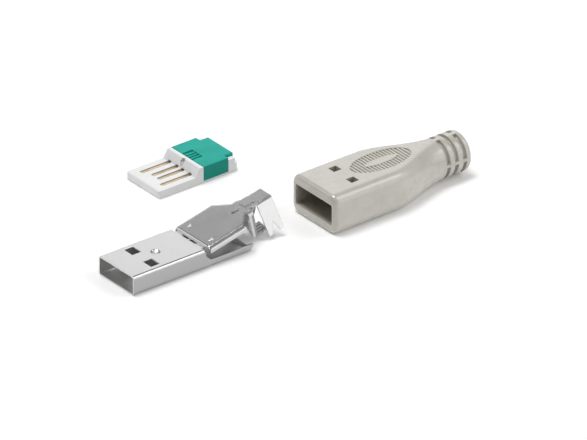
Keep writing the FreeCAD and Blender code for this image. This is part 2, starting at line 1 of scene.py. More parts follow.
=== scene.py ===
# %% [markdown]
# # A cable plug in three loose groups
#
# The object is a plug that its owner fits to a cable by hand. It lies on a pale table
# in three groups: a folded steel shell with a lifted clamp cover, a white contact
# insert with a green wire holder, and a soft hood. The solid model of every hard piece
# comes from the frame, at its real size and place, so this lesson is about what
# solids don't have: a soft moulded skin, finishes, light and a camera.

# %% Load the frame
import math

import bmesh
import bpy
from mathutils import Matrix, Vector


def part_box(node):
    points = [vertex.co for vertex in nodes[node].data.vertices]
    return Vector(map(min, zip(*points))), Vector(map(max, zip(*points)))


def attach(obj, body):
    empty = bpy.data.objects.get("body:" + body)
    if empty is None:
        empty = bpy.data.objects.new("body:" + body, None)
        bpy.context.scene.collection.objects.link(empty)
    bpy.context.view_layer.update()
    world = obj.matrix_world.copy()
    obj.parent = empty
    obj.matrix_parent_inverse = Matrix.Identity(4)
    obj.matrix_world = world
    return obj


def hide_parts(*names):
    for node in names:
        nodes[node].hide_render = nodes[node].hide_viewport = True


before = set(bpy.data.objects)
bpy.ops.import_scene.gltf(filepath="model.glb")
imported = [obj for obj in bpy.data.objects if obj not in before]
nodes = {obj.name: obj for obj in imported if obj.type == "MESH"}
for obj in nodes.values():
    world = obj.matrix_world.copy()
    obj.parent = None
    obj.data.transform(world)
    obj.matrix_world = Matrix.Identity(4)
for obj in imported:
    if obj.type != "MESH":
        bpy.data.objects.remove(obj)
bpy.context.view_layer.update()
mm = 0.001
print("solid pieces:", ", ".join(sorted(nodes)))

# %% [markdown]
# ## The camera
#
# The picture was taken from far away with a long lens, so parallel edges stay nearly
# parallel. A camera close by with a short lens would spread them. The way to copy
# such a view is to put the camera three metres off and to use a very long lens. The
# camera looks along a direction given by its turn and its tilt, and it aims at a point
# on the table.

# %% Camera
camera_turn = math.radians(52.0)
camera_tilt = math.radians(29.07)
camera_distance = 3.0
sensor_width_mm = 36
lens_mm = 875
aim = Vector((2.48, -12.142, 0)) * mm
forward = Vector((
    math.cos(camera_tilt) * math.cos(camera_turn),
    math.cos(camera_tilt) * math.sin(camera_turn),
    -math.sin(camera_tilt),
))


def put_camera():
    """A long-lens camera that looks at the aim point."""
    data = bpy.data.cameras.new("long_lens")
    data.sensor_width = sensor_width_mm
    data.lens = lens_mm
    data.clip_start = 0.05
    data.clip_end = 20
    camera = bpy.data.objects.new("long_lens", data)
    camera.location = aim - forward * camera_distance
    camera.rotation_euler = forward.to_track_quat("-Z", "Y").to_euler()
    bpy.context.scene.collection.objects.link(camera)
    bpy.context.scene.camera = camera
    return camera


print("camera at", [round(value, 3) for value in put_camera().location])

# %% [markdown]
# ## Nodes written as sums
#
# A finish is a small network of nodes. Wiring each one by hand hides the idea behind
# it, so two helpers make a network read like a sum. NodeBoard adds any node from its
# type, its settings and the values of its inputs. Wire stands for one output of a
# node, and adding or multiplying two wires places the Math node that does it. The
# boards of Geometry Nodes later on use the same two helpers.

# %% Helpers for node networks
class Wire:
    """One output of a node, which can be used in sums."""

    def __init__(self, board, socket):
        self.board = board
        self.socket = socket

    def __add__(self, other):
        return self.board.apply("ADD", self, other)

    def __radd__(self, other):
        return self.board.apply("ADD", other, self)

    def __sub__(self, other):
        return self.board.apply("SUBTRACT", self, other)

    def __rsub__(self, other):
        return self.board.apply("SUBTRACT", other, self)

    def __mul__(self, other):
        return self.board.apply("MULTIPLY", self, other)

    def __rmul__(self, other):
        return self.board.apply("MULTIPLY", other, self)

    def __truediv__(self, other):
        return self.board.apply("DIVIDE", self, other)

    def __rtruediv__(self, other):
        return self.board.apply("DIVIDE", other, self)

    def __pow__(self, other):
        return self.board.apply("POWER", self, other)


class NodeBoard:
    """A node tree that takes a node's type, its settings and its inputs."""

    def __init__(self, tree):
        self.tree = tree

    def add(self, kind, settings=None, inputs=None, output=0):
        """Places one node and returns its output, or the node if it has none."""
        node = self.tree.nodes.new(kind)
        for name, value in (settings or {}).items():
            if name == "stops":
                self.set_stops(node.color_ramp.elements, value)
            else:
                setattr(node, name, value)
        for key, value in (inputs or {}).items():
            if isinstance(value, Wire):
                self.tree.links.new(value.socket, node.inputs[key])
            else:
                node.inputs[key].default_value = value
        return Wire(self, node.outputs[output]) if node.outputs else node

    def set_stops(self, elements, stops):
        """Fills a colour ramp with (place, colour) stops."""
        while len(elements) < len(stops):
            elements.new(0.5)
        for element, (place, colour) in zip(elements, stops):
            element.position = place
            element.color = (*colour, 1)

    def apply(self, operation, first, second=0.0):
        """A Math node for one operation."""
        return self.add("ShaderNodeMath", {"operation": operation}, {0: first, 1: second})

    def parts(self, vector):
        """The X, Y and Z of a place."""
        node = self.tree.nodes.new("ShaderNodeSeparateXYZ")
        self.tree.links.new(vector.socket, node.inputs[0])
        return [Wire(self, node.outputs[axis]) for axis in range(3)]

    def noise(self, vector, scale, detail=2.0, roughness=0.5):
        """Soft cloudy values round 0.5."""
        return self.add("ShaderNodeTexNoise", None, {
            "Vector": vector, "Scale": scale, "Detail": detail, "Roughness": roughness,
        })

    def stretched(self, vector, stretch):
        """The same coordinates, scaled by a different amount along each axis."""
        return self.add("ShaderNodeMapping", None, {"Vector": vector, "Scale": stretch})

    def ramp(self, value, stops):
        """A colour looked up on a ramp of (place, colour) stops."""
        return self.add("ShaderNodeValToRGB", {"stops": stops}, {0: value})

    def range(self, value, low, high, new_low, new_high):
        """Moves the range low..high to new_low..new_high, and holds it there."""
        return self.add("ShaderNodeMapRange", {"clamp": True}, {
            "Value": value,
            "From Min": low,
            "From Max": high,
            "To Min": new_low,
            "To Max": new_high,
        })

    def tint(self, share, first, second):
        """A colour between two colours."""
        ends = [end if isinstance(end, Wire) else (*end, 1) for end in (first, second)]
        inputs = {"Factor": share, 6: ends[0], 7: ends[1]}
        return self.add("ShaderNodeMix", {"data_type": "RGBA"}, inputs, 2)


def new_finish(name):
    """An empty material, its board and the coordinates of the object."""
    material = bpy.data.materials.new(name)
    material.use_nodes = True
    material.node_tree.nodes.clear()
    board = NodeBoard(material.node_tree)
    place = board.add("ShaderNodeTexCoord", None, None, "Object")
    return material, board, place


def close_finish(board, inputs):
    """Ends a material in one Principled shader."""
    shader = board.add("ShaderNodeBsdfPrincipled", None, inputs)
    board.add("ShaderNodeOutputMaterial", None, {"Surface": shader})


def soft_edges(board, radius):
    """A normal that rounds every sharp edge a little, so that it catches the light."""
    return board.add("ShaderNodeBevel", {"samples": 6}, {"Radius": radius})


def bumps(board, height, distance, strength, normal):
    """A normal that shows a height as small bumps."""
    return board.add("ShaderNodeBump", None, {
        "Height": height, "Distance": distance, "Strength": strength, "Normal": normal,
    })


print("helpers ready")

# %% [markdown]
# ## Steel sheet
#
# The shell and its cover are punched from one nickel-plated sheet. Rolling leaves
# fine lines along the sheet, plating makes it bright, and handling adds faint dull
# patches. All of this could be a picture, but noise that is stretched along one axis
# gives lines of any length at any scale. The lines and patches change the roughness
# and the bumps, and the colour only slightly, as on real metal.
#
# Some places are painted lighter or darker, as painted light and shade, and a mask finds
# each of them. A mask is a value from 0 to 1 that is worked out from the place on the
# object. The inside of the shell is duller (rougher) than its outside, and its colour is
# painted lighter, as painted light in that shaded inside. The distance to a rounded
# rectangle tells them apart: it is zero on the outer skin, and below zero further in.
# The upright walls have painted shade, darker than the roof, and the tray has painted
# shade inside towards the fold, where the cover keeps the light out. A pressed line runs
# across the cover just behind the fold, with painted shade in the line and a painted
# highlight as a bright strip in front of it. The ribbed wings at the rear have painted
# shade.

# %% Places on the steel
shell_low, shell_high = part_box("plug_shell")
shell_middle = (shell_low + shell_high) / 2
shell_half = (shell_high - shell_low) / 2
skin_bend = 0.65 * mm
sheet = 0.3 * mm
fold_x = -24.6 * mm
fold_z = 4.35 * mm
cover_lift = math.radians(12.5)
press_x = fold_x + 0.9 * mm
press_half = 0.18 * mm
strip_edge = 0.1 * mm
wall_fade = (0.10 * mm, 0.02 * mm)
tray_fade = (2 * mm, 11 * mm)
tray_least = 0.2
inner_roughness = 0.20
# The wings are found by their distance along the cover and their depth below it.
wing_start = 14.1 * mm
wing_end = 16.2 * mm
wing_drop = 0.9 * mm
wing_edge = 0.2 * mm
# Painted light and shade on the steel: a lighter inside, darker walls and tray, a bright strip, a
# dark line and dark wings.
inner_painted_light_steel = (0.76, 0.76, 0.75)
wall_painted_shade = (0.41, 0.41, 0.41)
tray_painted_shade = (0.20, 0.20, 0.20)
strip_painted_highlight = (0.78, 0.78, 0.78)
line_painted_shade = (0.25, 0.25, 0.25)
wing_painted_shade = (0.27, 0.27, 0.27)


def inside_shell(board, place):
    """1 on the inner face of the shell's sheet, 0 on its outer face."""
    _, y, z = board.parts(place)
    across = board.apply("ABSOLUTE", y - shell_middle.y) - (shell_half.y - skin_bend)
    upward = board.apply("ABSOLUTE", z - shell_middle.z) - (shell_half.z - skin_bend)
    past_y = board.apply("MAXIMUM", across, 0.0)
    past_z = board.apply("MAXIMUM", upward, 0.0)
    corner = (past_y * past_y + past_z * past_z) ** 0.5
    flat = board.apply("MINIMUM", board.apply("MAXIMUM", across, upward), 0.0)
    distance = corner + flat - skin_bend
    return board.range(distance, -0.7 * sheet, -0.3 * sheet, 1, 0)


def pressed_line(board, place):
    """The height of a V-shaped groove across the sheet: 0 at its bottom, 1 beside it."""
    x = board.parts(place)[0]
    return board.range(board.apply("ABSOLUTE", x - press_x), 0, press_half, 0, 1)


def cover_colour(board, place, colour):
    """A painted highlight in front of the pressed line, painted shade in the line and on the ribbed
    wings.
    """
    x, _, z = board.parts(place)
    # Painted highlight: a bright strip just in front of the pressed line.
    strip = board.range(x - press_x, -strip_edge, strip_edge, 1, 0)
    colour = board.tint(strip, colour, strip_painted_highlight)
    # Painted shade at the bottom of the pressed line.
    line = board.range(board.apply("ABSOLUTE", x - press_x), 0, press_half * 0.8, 1, 0)
    colour = board.tint(line, colour, line_painted_shade)
    reach = (x - fold_x) * math.cos(cover_lift) + (z - fold_z) * math.sin(cover_lift)
    drop = (x - fold_x) * math.sin(cover_lift) - (z - fold_z) * math.cos(cover_lift)
    # Painted shade on the ribbed wings.
    wing = board.range(reach, wing_start, wing_start + wing_edge, 0, 1)
    wing = wing * board.range(reach, wing_end, wing_end + wing_edge, 1, 0)
    wing = wing * board.range(drop, wing_drop, wing_drop + wing_edge, 0, 1)
    return board.tint(wing, colour, wing_painted_shade)


def shell_colour(board, place, colour):
    """Painted shade: darker on the upright walls, and darker inside the tray towards the fold."""
    x, y, _ = board.parts(place)
    across = board.apply("ABSOLUTE", y - shell_middle.y)
    # Painted shade on the upright walls.
    wall = board.range(across, shell_half.y - wall_fade[0], shell_half.y - wall_fade[1], 0, 1)
    colour = board.tint(wall, colour, wall_painted_shade)
    # Painted shade inside the tray towards the fold, where the cover keeps the light out.
    tray = board.range(x, fold_x - tray_fade[0], fold_x, 0, 1)
    tray = tray * board.range(x, fold_x + tray_fade[0], fold_x + tray_fade[1], 1, tray_least)
    return board.tint(tray * inside_shell(board, place), colour, tray_painted_shade)


print("shell box, mm:", [round(2 * half / mm, 2) for half in shell_half])


# %% Steel finishes
def steel_finish(name, bright, dull, smooth, rough, stains_and_painted_light, inside=None, line=None):
    """Plated sheet with rolling lines along X and faint patches, and painted light and shade."""
    material, board, place = new_finish(name)
    lines = board.noise(board.stretched(place, (90, 2600, 2600)), 1.0, 3.0, 0.6)
    fine = board.noise(board.stretched(place, (300, 9000, 9000)), 1.0, 2.0, 0.6)
    patches = board.noise(place, 160.0, 3.0, 0.55)
    specks = board.noise(place, 2600.0, 2.0, 0.5)
    shade = board.range(patches * 0.7 + lines * 0.3, 0.35, 0.65, 0, 1)
    gloss = board.range(lines * 0.45 + patches * 0.35 + fine * 0.2, 0.35, 0.65, smooth, rough)
    height = lines * 0.5 + fine * 0.3 + specks * 0.2
    colour = board.tint(shade, dull, bright)
    normal = bumps(board, height, 0.003 * mm, 0.3, soft_edges(board, 0.07 * mm))
    if inside:
        share = inside(board, place)
        # Painted light: the colour inside the shell is painted lighter; the roughness is raised
        # too.
        colour = board.tint(share, colour, inner_painted_light_steel)
        gloss = gloss + share * inner_roughness
    if line:
        normal = bumps(board, line(board, place), 0.03 * mm, 1.0, normal)
    # The base colour takes the painted light and shade of each piece.
    close_finish(board, {
        "Base Color": stains_and_painted_light(board, place, colour),
        "Metallic": 1.0,
        "Roughness": gloss,
        "Normal": normal,
    })
    return material


shell_steel = steel_finish(
    "shell_steel", (0.59, 0.59, 0.59), (0.54, 0.54, 0.54), 0.17, 0.26,
    stains_and_painted_light=shell_colour, inside=inside_shell)
cover_steel = steel_finish(
    "cover_steel", (0.60, 0.60, 0.60), (0.55, 0.55, 0.55), 0.19, 0.29,
    stains_and_painted_light=cover_colour, line=pressed_line)
print("steel:", shell_steel.name, cover_steel.name)

# %% [markdown]
# ## Moulded plastics
#
# The insert is white and nearly plain, with the soft mottling of a moulding. The
# wire holder is green, and the hood is soft vinyl: warm grey, satin, with a fine grain
# from the spark-eroded mould. Grain is noise at about a tenth of a millimetre, in the
# bumps and in the shine. All three let a little light in, so they take a small share
# of subsurface scattering.
#
# Here too a mask finds the places with painted shade: the pocket inside the hood is
# painted darker than its skin, the upright sides of the insert and its holder are painted
# darker than their tops, and the small round recess in the insert's slope is painted
# dark as shade.

# %% Places on the plastics
hood_low, hood_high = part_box("hood")
pocket_half = (6.25 * mm, 2.5 * mm)
pocket_end = 17.5 * mm
pocket_fade = 1.0 * mm


def inside_pocket(board, place):
    """1 on the walls of the hood's pocket, fading in from its mouth, 0 on its outside."""
    x, y, z = board.parts(place)
    across = board.apply("ABSOLUTE", y - (hood_low.y + hood_high.y) / 2)
    upward = board.apply("ABSOLUTE", z - (hood_low.z + hood_high.z) / 2)
    share = board.apply("LESS_THAN", across, pocket_half[0])
    share = share * board.apply("LESS_THAN", upward, pocket_half[1])
    share = share * board.apply("LESS_THAN", x - hood_low.x, pocket_end)
    return share * board.range(x - hood_low.x, 0.2 * pocket_fade, pocket_fade, 0, 1)


insert_low, insert_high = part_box("insulator")
insert_middle = (insert_low.y + insert_high.y) / 2
insert_half = (insert_high.y - insert_low.y) / 2
recess_from_tip = 10.6 * mm
recess_x = insert_low.x + recess_from_tip
recess_reach = 0.57 * mm
side_fade = (0.06 * mm, 0.02 * mm)
side_share = 0.5


def inside_recess(board, place):
    """1 in the small round recess of the insert's slope, which gets painted shade, 0 round it."""
    x, y, _ = board.parts(place)
    along = x - recess_x
    across = y - insert_middle
    reach = (along * along + across * across) ** 0.5
    return board.apply("LESS_THAN", reach, recess_reach)


def side_wall(board, place):
    """1 on the two upright sides of the insert and its holder, 0 between them."""
    y = board.parts(place)[1]
    apart = board.apply("ABSOLUTE", y - insert_middle)
    return board.range(apart, insert_half - side_fade[0], insert_half - side_fade[1], 0, 1)


def recess_and_sides(board, place):
    """Where painted shade goes: 1 in the recess, and a smaller share on the sides."""
    sides = side_wall(board, place) * side_share
    return board.apply("MAXIMUM", inside_recess(board, place), sides)


print("insert, mm:", [round(size / mm, 2) for size in insert_high - insert_low])


# %% Plastic finishes
glow = 0.05
glow_depth = 0.6 * mm


def moulded_finish(name, light, dark, smooth, rough, grain, depth, shine,
                   painted_shade_place, painted_shade_colour, coat=0.0):
    """A moulded plastic with mottling, a fine grain, light that spreads inside it, and painted
    shade.
    """
    material, board, place = new_finish(name)
    cloud = board.noise(place, 220.0, 3.0, 0.5)
    flow = board.noise(board.stretched(place, (60, 240, 240)), 1.0, 2.0, 0.5)
    pores = board.noise(place, grain, 2.0, 0.6)
    share = board.range(cloud * 0.6 + flow * 0.4, 0.38, 0.62, 0, 1)
    gloss = board.range(cloud * 0.4 + pores * 0.6, 0.35, 0.65, smooth, rough)
    colour = board.tint(share, dark, light)
    # The base colour is painted darker, as painted shade, where the mask is 1.
    close_finish(board, {
        "Base Color": board.tint(painted_shade_place(board, place), colour, painted_shade_colour),
        "Roughness": gloss,
        "IOR": 1.47,
        "Specular IOR Level": shine,
        "Subsurface Weight": glow,
        "Subsurface Scale": glow_depth,
        "Coat Weight": coat,
        "Coat Roughness": 0.16,
        "Normal": bumps(board, pores, depth, 0.6, soft_edges(board, 0.12 * mm)),
    })
    return material


# Painted shade: the insert's upright sides and its small recess are painted darker.
white_plastic = moulded_finish(
    "white_plastic", (0.84, 0.84, 0.84), (0.80, 0.80, 0.80), 0.28, 0.40,
    grain=5200.0, depth=0.006 * mm, shine=0.4,
    painted_shade_place=recess_and_sides, painted_shade_colour=(0.58, 0.58, 0.58))
# Painted shade: the holder's upright sides are painted darker than its top.
green_plastic = moulded_finish(
    "green_plastic", (0.010, 0.42, 0.345), (0.006, 0.36, 0.29), 0.26, 0.38,
    grain=4200.0, depth=0.004 * mm, shine=0.12,
    painted_shade_place=side_wall, painted_shade_colour=(0.005, 0.24, 0.19))
# Painted shade: the pocket inside the hood is painted darker than its skin.
hood_vinyl = moulded_finish(
    "hood_vinyl", (0.52, 0.50, 0.445), (0.48, 0.46, 0.405), 0.24, 0.33,
    grain=6500.0, depth=0.008 * mm, shine=0.9,
    painted_shade_place=inside_pocket, painted_shade_colour=(0.33, 0.31, 0.26), coat=0.7)
print("plastics:", white_plastic.name, green_plastic.name, hood_vinyl.name)

# %% [markdown]
# ## Gold on the contacts
#
# The four contacts are punched from copper alloy and plated with a thin coat of gold.
# It is a metal with a coloured reflection. Its shine is even, apart from the marks of
# the punch, so a little noise in the roughness is enough. The two long rims of each
# strip have painted shade in dark brown, where it lies sunk in a narrow slot.

# %% Gold finish
contact_names = ["contact_power", "contact_data_minus", "contact_data_plus", "contact_ground"]
contact_boxes = [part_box(name) for name in contact_names]
rim_start = 0.30 * mm
rim_end = 0.42 * mm
rim_painted_shade = (0.13, 0.07, 0.03)


def contact_rim(board, place):
    """0 along the middle of each contact strip, 1 along its two rims."""
    y = board.parts(place)[1]
    apart = 1 * mm
    for low, high in contact_boxes:
        from_middle = board.apply("ABSOLUTE", y - (low.y + high.y) / 2)
        apart = board.apply("MINIMUM", from_middle, apart)
    return board.range(apart, rim_start, rim_end, 0, 1)


def gold_finish():
    """Plated strip with punch marks along X and faint stains."""
    material, board, place = new_finish("contact_gold")
    marks = board.noise(board.stretched(place, (200, 3200, 3200)), 1.0, 2.0, 0.6)
    stains_and_painted_light = board.noise(place, 420.0, 3.0, 0.5)
    share = board.range(stains_and_painted_light, 0.35, 0.65, 0, 1)
    colour = board.tint(share, (0.48, 0.37, 0.22), (0.68, 0.56, 0.38))
    # Painted shade: the two long rims of each strip are painted dark brown.
    close_finish(board, {
        "Base Color": board.tint(contact_rim(board, place), colour, rim_painted_shade),
        "Metallic": 1.0,
        "Roughness": board.range(marks * 0.6 + stains_and_painted_light * 0.4, 0.35, 0.65, 0.26, 0.40),
        "Normal": bumps(board, marks, 0.003 * mm, 0.5, soft_edges(board, 0.05 * mm)),
    })
    return material


contact_gold = gold_finish()
print("metal:", contact_gold.name)

# %% [markdown]
# ## Dressing the solid pieces
#
# The hard pieces already have their true shape in the frame. They stay as they are,
# and each takes a finish in place of its plain one, through the material slots of
# its object.

# %% Dress the solid pieces
finish_of = {
    "plug_shell": shell_steel,
    "rear_cover": cover_steel,
    "insulator": white_plastic,
    "wire_holder": green_plastic,
}
for name in contact_names:
    finish_of[name] = contact_gold
for piece, finish in finish_of.items():
    for slot in nodes[piece].material_slots:
        slot.material = finish
print("dressed:", len(finish_of), "pieces")

# %% [markdown]
# ## The skin of the hood
#
# The hood is one soft moulding. It starts as a box with round corners, narrows in an
# S-curve and ends in a round neck, and it is hollow. A solid made of flat cuts would
# show steps here, so the skin is built as rings of points: each ring is a rounded
# rectangle whose width, height and corner follow one smooth curve. The rings run
# over the outside to the rear and back through the inside to the front, so the mesh
# closes on itself with no seam.

# %% Sizes of the hood
hood_length = hood_high.x - hood_low.x
hood_width = hood_high.y - hood_low.y
hood_height = hood_high.z - hood_low.z
hood_start = Vector((hood_low.x, (hood_low.y + hood_high.y) / 2, (hood_low.z + hood_high.z) / 2))
hood_corner = 2.2 * mm
front_round = 1.0 * mm
taper_start = 17.0 * mm
taper_end = 32.0 * mm
taper_straightness = 0.3
neck_radius = hood_height / 2
neck_round = 0.9 * mm
mouth_width = 12.3 * mm
mouth_height = 4.8 * mm
mouth_corner = 0.4 * mm
chamber_start = 18.5 * mm
chamber_radius = 3.5 * mm
chamber_end = 27.0 * mm
cable_radius = 2.4 * mm
print("hood, mm:", [round(size / mm, 2) for size in (hood_length, hood_width, hood_height)])


# %% Rings of the hood
def ring(x, width, height, corner, quarter_points=24):
    """A rounded rectangle across the X axis, with its points evenly spaced in each quarter."""
    flat_top = width / 2 - corner
    bend = corner * math.pi / 2
    flat_side = height / 2 - corner
    quarter = flat_top + bend + flat_side
    corner_points = []
    for index in range(quarter_points):
        run = quarter * index / quarter_points
        if run <= flat_top:
            corner_points.append((run, height / 2))
        elif run <= flat_top + bend:
            angle = (run - flat_top) / corner
            corner_points.append((
                flat_top + corner * math.sin(angle),
                flat_side + corner * math.cos(angle),
            ))
        else:
            corner_points.append((width / 2, flat_side - (run - flat_top - bend)))
    side_point = (width / 2, 0)
    first = corner_points
    second = [(y, -z) for y, z in [side_point] + corner_points[:0:-1]]
    third = [(-y, -z) for y, z in corner_points]
    fourth = [(-y, z) for y, z in [side_point] + corner_points[:0:-1]]
    return [hood_start + Vector((x, y, z)) for y, z in first + second + third + fourth]


def blend_of(x):
    """How far the section has gone from box to circle at x, from 0 to 1."""
    t = min(max((x - taper_start) / (taper_end - taper_start), 0), 1)
    return taper_straightness * t + (1 - taper_straightness) * t * t * (3 - 2 * t)


def outer_ring(x, inset=0.0):
    """The hood's outer section at x, drawn in by an inset."""
    share = blend_of(x)
    width = hood_width + (2 * neck_radius - hood_width) * share
    corner = hood_corner + (neck_radius - hood_corner) * share
    return ring(x, width - 2 * inset, hood_height - 2 * inset, corner - inset)


def round_over(radius, angle_deg):
    """How far a rounded edge is drawn in, and how far it is from the end face."""
    angle = math.radians(angle_deg)
    return radius * (1 - math.sin(angle)), radius * (1 - math.cos(angle))


def hood_rings():
    """All sections of the hood, from the mouth along the outside and back inside."""
    rings = []
    edge_angles = range(0, 91, 15)
    for angle in edge_angles:
        inset, x = round_over(front_round, angle)
        rings.append(outer_ring(x, inset))
    taper_rings = 48
    for index in range(taper_rings + 1):
        rings.append(outer_ring(taper_start + (taper_end - taper_start) * index / taper_rings))
    for angle in reversed(edge_angles):
        inset, x = round_over(neck_round, angle)
        rings.append(outer_ring(hood_length - x, inset))
    for x in (hood_length, chamber_end):
        rings.append(ring(x, 2 * cable_radius, 2 * cable_radius, cable_radius))
    for x in (chamber_end, chamber_start):
        rings.append(ring(x, 2 * chamber_radius, 2 * chamber_radius, chamber_radius))
    for x in (pocket_end, 0):
        rings.append(ring(x, mouth_width, mouth_height, mouth_corner))
    return rings


print("rings:", len(hood_rings()))


# %% Mesh of the hood
def mesh_object(name, points, faces):
    """A new object at the origin from points and faces."""
    mesh = bpy.data.meshes.new(name)
    mesh.from_pydata(points, [], faces)
    made = bpy.data.objects.new(name, mesh)
    bpy.context.scene.collection.objects.link(made)
    return made


def turn_faces_out(made):
    """Turns every face of a closed mesh to the outside."""
    shape = bmesh.new()
    shape.from_mesh(made.data)
    bmesh.ops.recalc_face_normals(shape, faces=shape.faces)
    shape.to_mesh(made.data)
    shape.free()
    return made


def merge_flat_faces(made, angle_deg):
    """Joins neighbouring faces that lie in one plane."""
    shape = bmesh.new()
    shape.from_mesh(made.data)
    bmesh.ops.dissolve_limit(
        shape, angle_limit=math.radians(angle_deg), verts=shape.verts, edges=shape.edges)
    shape.to_mesh(made.data)
    shape.free()
    return made


def closed_tube(name, rings):
    """Joins each ring to the next, and the last to the first."""
    size = len(rings[0])
    points = [point for one in rings for point in one]
    faces = []
    for row in range(len(rings)):
        after = (row + 1) % len(rings)
        for step in range(size):
            beside = (step + 1) % size
            faces.append((
                row * size + step, row * size + beside, after * size + beside, after * size + step))
    return turn_faces_out(mesh_object(name, points, faces))


flat_deg = 0.4
hood = merge_flat_faces(closed_tube("soft_hood", hood_rings()), flat_deg)
print("hood faces:", len(hood.data.polygons))

# %% [markdown]
# ## What is cut from the hood
#
# Two square windows go through the roof for the catches of the cover. Three flex
# grooves run round the neck, broken by webs that keep it strong. An oval dish in the
# roof, with an island in its middle, gives the thumb a grip. The Boolean modifier
# takes one shape from another, and its exact solver keeps every edge clean. The
# cutters are simple closed meshes, and they are deleted when they have done their
# work.

# %% Cutters
def prism(name, outline, low, high):
    """An outline of (x, y) points raised from low to high, around the hood's start."""
    count = len(outline)
    points = [hood_start + Vector((x, y, low)) for x, y in outline]
    points += [hood_start + Vector((x, y, high)) for x, y in outline]
    faces = [tuple(range(count)), tuple(range(count, 2 * count))]
    for step in range(count):
        beside = (step + 1) % count
        faces.append((step, beside, count + beside, count + step))
    return turn_faces_out(mesh_object(name, points, faces))


def oval_line(length, width, count=96):
    """The (x, y) points of an oval round the middle of the grip."""
    angles = [2 * math.pi * step / count for step in range(count)]
    return [(oval_x + length / 2 * math.cos(a), width / 2 * math.sin(a)) for a in angles]


def oval_moat(name, low, high):
    """The oval dish with its island left standing: a closed ring of four ovals."""
    outer = oval_line(oval_length, oval_width)
    inner = oval_line(island_length, island_width)
    loops = [(outer, low), (outer, high), (inner, high), (inner, low)]
    rings = [[hood_start + Vector((x, y, z)) for x, y in line] for line, z in loops]
    return closed_tube(name, rings)


def neck_arc(name, x_mid, start_deg, end_deg):
    """One stretch of a flex groove round the neck."""
    steps = max(int((end_deg - start_deg) / arc_step_deg), 4)
    loops = []
    for step in range(steps + 1):
        angle = math.radians(start_deg + (end_deg - start_deg) * step / steps)
        loop = []
        for x, radius in ((-1, 0), (1, 0), (1, 1), (-1, 1)):
            reach = neck_radius + past if radius else neck_radius - groove_depth
            loop.append(hood_start + Vector((
                x_mid + x * groove_width / 2, reach * math.cos(angle), reach * math.sin(angle))))
        loops.append(loop)
    points = [point for loop in loops for point in loop]
    faces = [(0, 1, 2, 3), tuple(len(points) - 4 + corner for corner in range(4))]
    for row in range(steps):
        for corner in range(4):
            beside = (corner + 1) % 4
            here = 4 * row
            faces.append((here + corner, here + beside, here + 4 + beside, here + 4 + corner))
    return turn_faces_out(mesh_object(name, points, faces))


window_x = 8.0 * mm
window_y = 3.0 * mm
window_size = 2.0 * mm
oval_x = 17.9 * mm
oval_length = 15.4 * mm
oval_width = 7.4 * mm
oval_depth = 0.34 * mm
island_length = 8.6 * mm
island_width = 2.2 * mm
groove_count = 3
groove_first = 32.7 * mm
groove_pitch = 2.2 * mm
groove_width = 1.0 * mm
groove_depth = 0.7 * mm
side_web_deg = 3.2
top_web_deg = 6.3
arc_step_deg = 5
past = 1 * mm


def make_cutters():
    """The oval dish, the two windows and every stretch of the three grooves."""
    roof = hood_height / 2
    cutters = [oval_moat("moat", roof - oval_depth, roof + past)]
    for side in (-1, 1):
        half = window_size / 2
        outline = [
            (window_x - half, side * window_y - half),
            (window_x + half, side * window_y - half),
            (window_x + half, side * window_y + half),
            (window_x - half, side * window_y + half),
        ]
        cutters.append(prism("window", outline, 0, roof + past))
    for index in range(groove_count):
        x_mid = groove_first + groove_pitch * index
        for side in (0, 180):
            if index % 2:
                spans = [(side_web_deg, 180 - side_web_deg)]
            else:
                spans = [(side_web_deg, 90 - top_web_deg), (90 + top_web_deg, 180 - side_web_deg)]
            for start, end in spans:
                cutters.append(neck_arc("groove", x_mid, side + start, side + end))
    return cutters


cutters = make_cutters()
print("cutters:", len(cutters))


# %% Cut and round the hood
edge_round = 0.13 * mm
edge_from_deg = 40


def plain_mesh(made):
    """Replaces an object's mesh by what its modifiers make of it."""
    graph = bpy.context.evaluated_depsgraph_get()
    mesh = bpy.data.meshes.new_from_object(made.evaluated_get(graph))
    made.modifiers.clear()
    made.data = mesh
    return made


def cut_away(made, cutters):
    """Takes each cutter from an object, then deletes the cutters."""
    for cutter in cutters:
        cut = made.modifiers.new("cut", "BOOLEAN")
        cut.operation = "DIFFERENCE"
        cut.solver = "EXACT"
        cut.object = cutter
        plain_mesh(made)
    for cutter in cutters:
        bpy.data.objects.remove(cutter)


def round_edges(made, width, from_deg, segments=2):
    """Rounds every edge that is sharper than an angle."""
    bevel = made.modifiers.new("round", "BEVEL")
    bevel.width = width
    bevel.segments = segments
    bevel.limit_method = "ANGLE"
    bevel.angle_limit = math.radians(from_deg)
    bevel.use_clamp_overlap = True
    return plain_mesh(made)


def shade_soft(made, sharp_deg=35):
    """Smooth shading, with sharp edges kept and large flat faces kept flat."""
    made.data.polygons.foreach_set("use_smooth", [True] * len(made.data.polygons))
    made.data.set_sharp_from_angle(angle=math.radians(sharp_deg))
    weight = made.modifiers.new("flat", "WEIGHTED_NORMAL")
    weight.keep_sharp = True
    return plain_mesh(made)


cut_away(hood, cutters)
merge_flat_faces(hood, flat_deg)
round_edges(hood, edge_round, edge_from_deg)
shade_soft(hood)
hood.data.materials.append(hood_vinyl)
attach(hood, "plug")
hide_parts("hood")
print("hood faces after rounding:", len(hood.data.polygons))

# %% [markdown]
# ## The ribs in the oval
#
# The oval dish is filled with fine cross ribs. They differ only in place and length,
# so Geometry Nodes can lay them out: a line of points, one small bar on each, and a
# length that follows the oval. The bar is a rounded outline drawn along a short line.
# The network ends in Realize Instances and Set Material, and its result is turned
# into a plain mesh.

